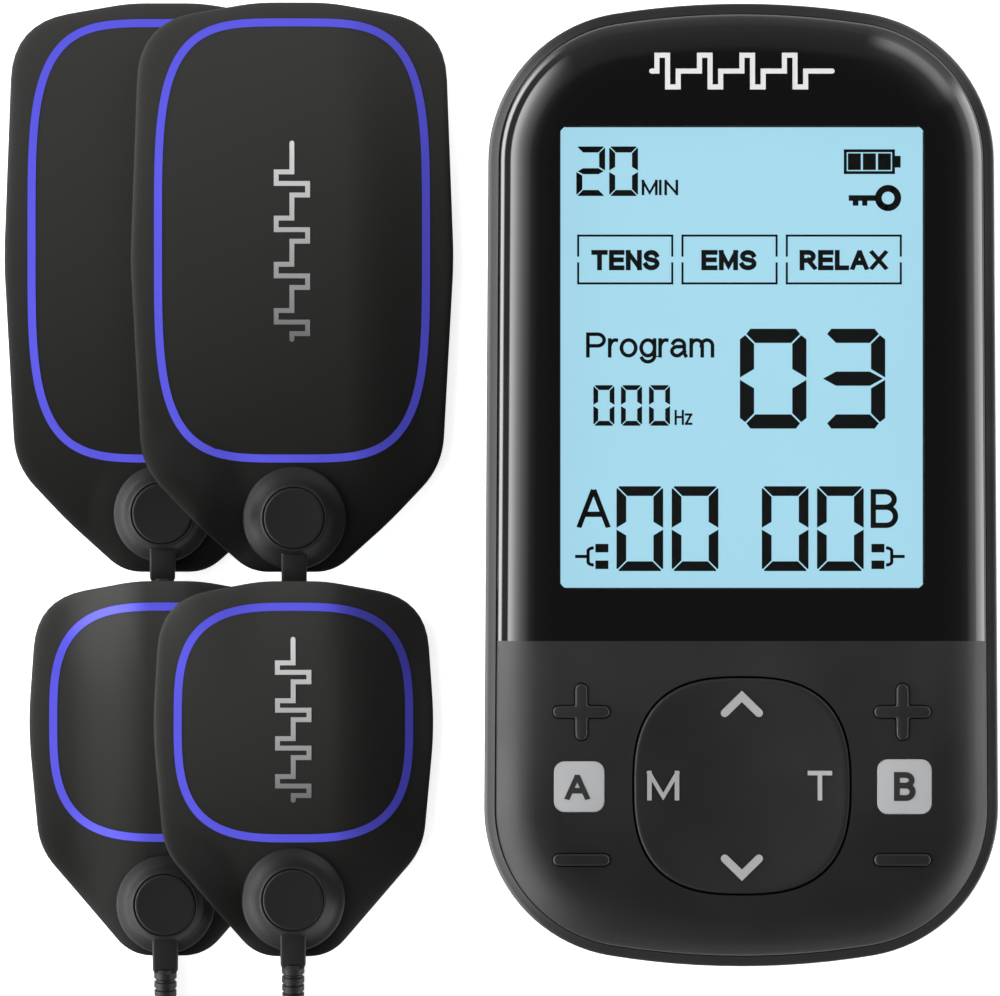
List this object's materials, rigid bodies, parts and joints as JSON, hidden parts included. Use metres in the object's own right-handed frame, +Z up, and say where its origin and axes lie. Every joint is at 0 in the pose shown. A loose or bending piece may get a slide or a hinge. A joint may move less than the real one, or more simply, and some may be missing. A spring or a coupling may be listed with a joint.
{
  "type": "tens unit",
  "caption": "Handheld nerve-stimulation controller with screen and keypad, electrode pads with press-stud connectors, and their split leads, laid out on a flat surface.",
  "frame": {"origin": "centre of the controller's flat rear face, on the surface that everything lies on", "axes": "+X to the controller's right, +Y towards its screen end, +Z up out of its front face"},
  "size_m": [0.1357, 0.2269, 0.0213],
  "materials": {
    "shell_plastic": "fine matte texture",
    "gloss_black": "polished",
    "panel_plastic": "fine matte texture",
    "frame_plastic": "matte",
    "clear_window": "clear",
    "lcd_lit": "backlit",
    "diffuser_white": "satin",
    "ribbon_amber": "satin",
    "board_green": "solder mask",
    "chip_black": "matte",
    "ferrite": "matte",
    "can_aluminium": "satin",
    "switch_metal": "brushed",
    "mat_silicone": "matte",
    "cell_foil": "foil",
    "foam": "open cell",
    "wire_red": "satin",
    "screw_steel": "zinc plated",
    "badge_grey": "printed satin",
    "key_plastic": "fine matte texture",
    "pad_cover": "soft touch",
    "gel": "tacky translucent",
    "stud_steel": "polished",
    "ring_brass": "spring",
    "connector_black": "satin",
    "wire_black": "satin",
    "tie_black": "woven hook strap",
    "pin_nickel": "nickel plated"
  },
  "bodies": {
    "unit": {"rear_shell": "shell_plastic", "front_frame": "frame_plastic", "screen_panel": "gloss_black", "keypad_panel": "panel_plastic", "display_window": "clear_window", "lcd_glass": "lcd_lit", "lcd_backlight": "diffuser_white", "lcd_frame": "frame_plastic", "lcd_ribbon": "ribbon_amber", "main_pcb": "board_green", "control_chip": "chip_black", "output_transformers": "ferrite", "storage_capacitors": "can_aluminium", "buzzer": "chip_black", "tact_switches": "switch_metal", "keypad_mat": "mat_silicone", "output_jacks": "frame_plastic", "charge_socket": "switch_metal", "battery_cell": "cell_foil", "battery_foam": "foam", "battery_wires": "wire_red", "housing_screws": "screw_steel", "channel_badges": "badge_grey", "pad_large_back": "pad_cover", "pad_large_front": "pad_cover", "pad_small_back": "pad_cover", "pad_small_front": "pad_cover", "gel_large_back": "gel", "gel_large_front": "gel", "gel_small_back": "gel", "gel_small_front": "gel", "snap_studs": "stud_steel", "snap_rings": "ring_brass", "snap_caps": "connector_black", "snap_large_back": "connector_black", "snap_large_front": "connector_black", "snap_small_back": "connector_black", "snap_small_front": "connector_black", "strain_reliefs": "wire_black", "wire_large_back": "wire_black", "wire_large_front": "wire_black", "wire_small_back": "wire_black", "wire_small_front": "wire_black", "yoke_a": "connector_black", "yoke_b": "connector_black", "main_lead_a": "wire_black", "main_lead_b": "wire_black", "coil_a": "wire_black", "coil_b": "wire_black", "coil_ties": "tie_black", "plug_a": "pin_nickel", "plug_b": "pin_nickel"},
    "key_a_plus": {"key_a_plus": "key_plastic"},
    "key_a_minus": {"key_a_minus": "key_plastic"},
    "key_b_plus": {"key_b_plus": "key_plastic"},
    "key_b_minus": {"key_b_minus": "key_plastic"},
    "dpad_bar": {"dpad_pivot_bar": "frame_plastic"},
    "dpad": {"dpad_cap": "key_plastic"}
  },
  "joints": [
    {"name": "key_a_plus_press", "type": "slide", "parent": "unit", "child": "key_a_plus", "axis": [0, 0, -1], "range_m": [0, 0.00045], "stiffness_N_per_m": 3000},
    {"name": "key_a_minus_press", "type": "slide", "parent": "unit", "child": "key_a_minus", "axis": [0, 0, -1], "range_m": [0, 0.00045], "stiffness_N_per_m": 3000},
    {"name": "key_b_plus_press", "type": "slide", "parent": "unit", "child": "key_b_plus", "axis": [0, 0, -1], "range_m": [0, 0.00045], "stiffness_N_per_m": 3000},
    {"name": "key_b_minus_press", "type": "slide", "parent": "unit", "child": "key_b_minus", "axis": [0, 0, -1], "range_m": [0, 0.00045], "stiffness_N_per_m": 3000},
    {"name": "dpad_left_right", "type": "hinge", "parent": "unit", "child": "dpad_bar", "pos_m": [0, -0.037, 0.01665], "axis": [0, 1, 0], "range_deg": [-2, 2], "stiffness_Nm_per_rad": 0.4},
    {"name": "dpad_up_down", "type": "hinge", "parent": "dpad_bar", "child": "dpad", "pos_m": [0, -0.037, 0.01665], "axis": [1, 0, 0], "range_deg": [-2, 2], "stiffness_Nm_per_rad": 0.4}
  ]
}
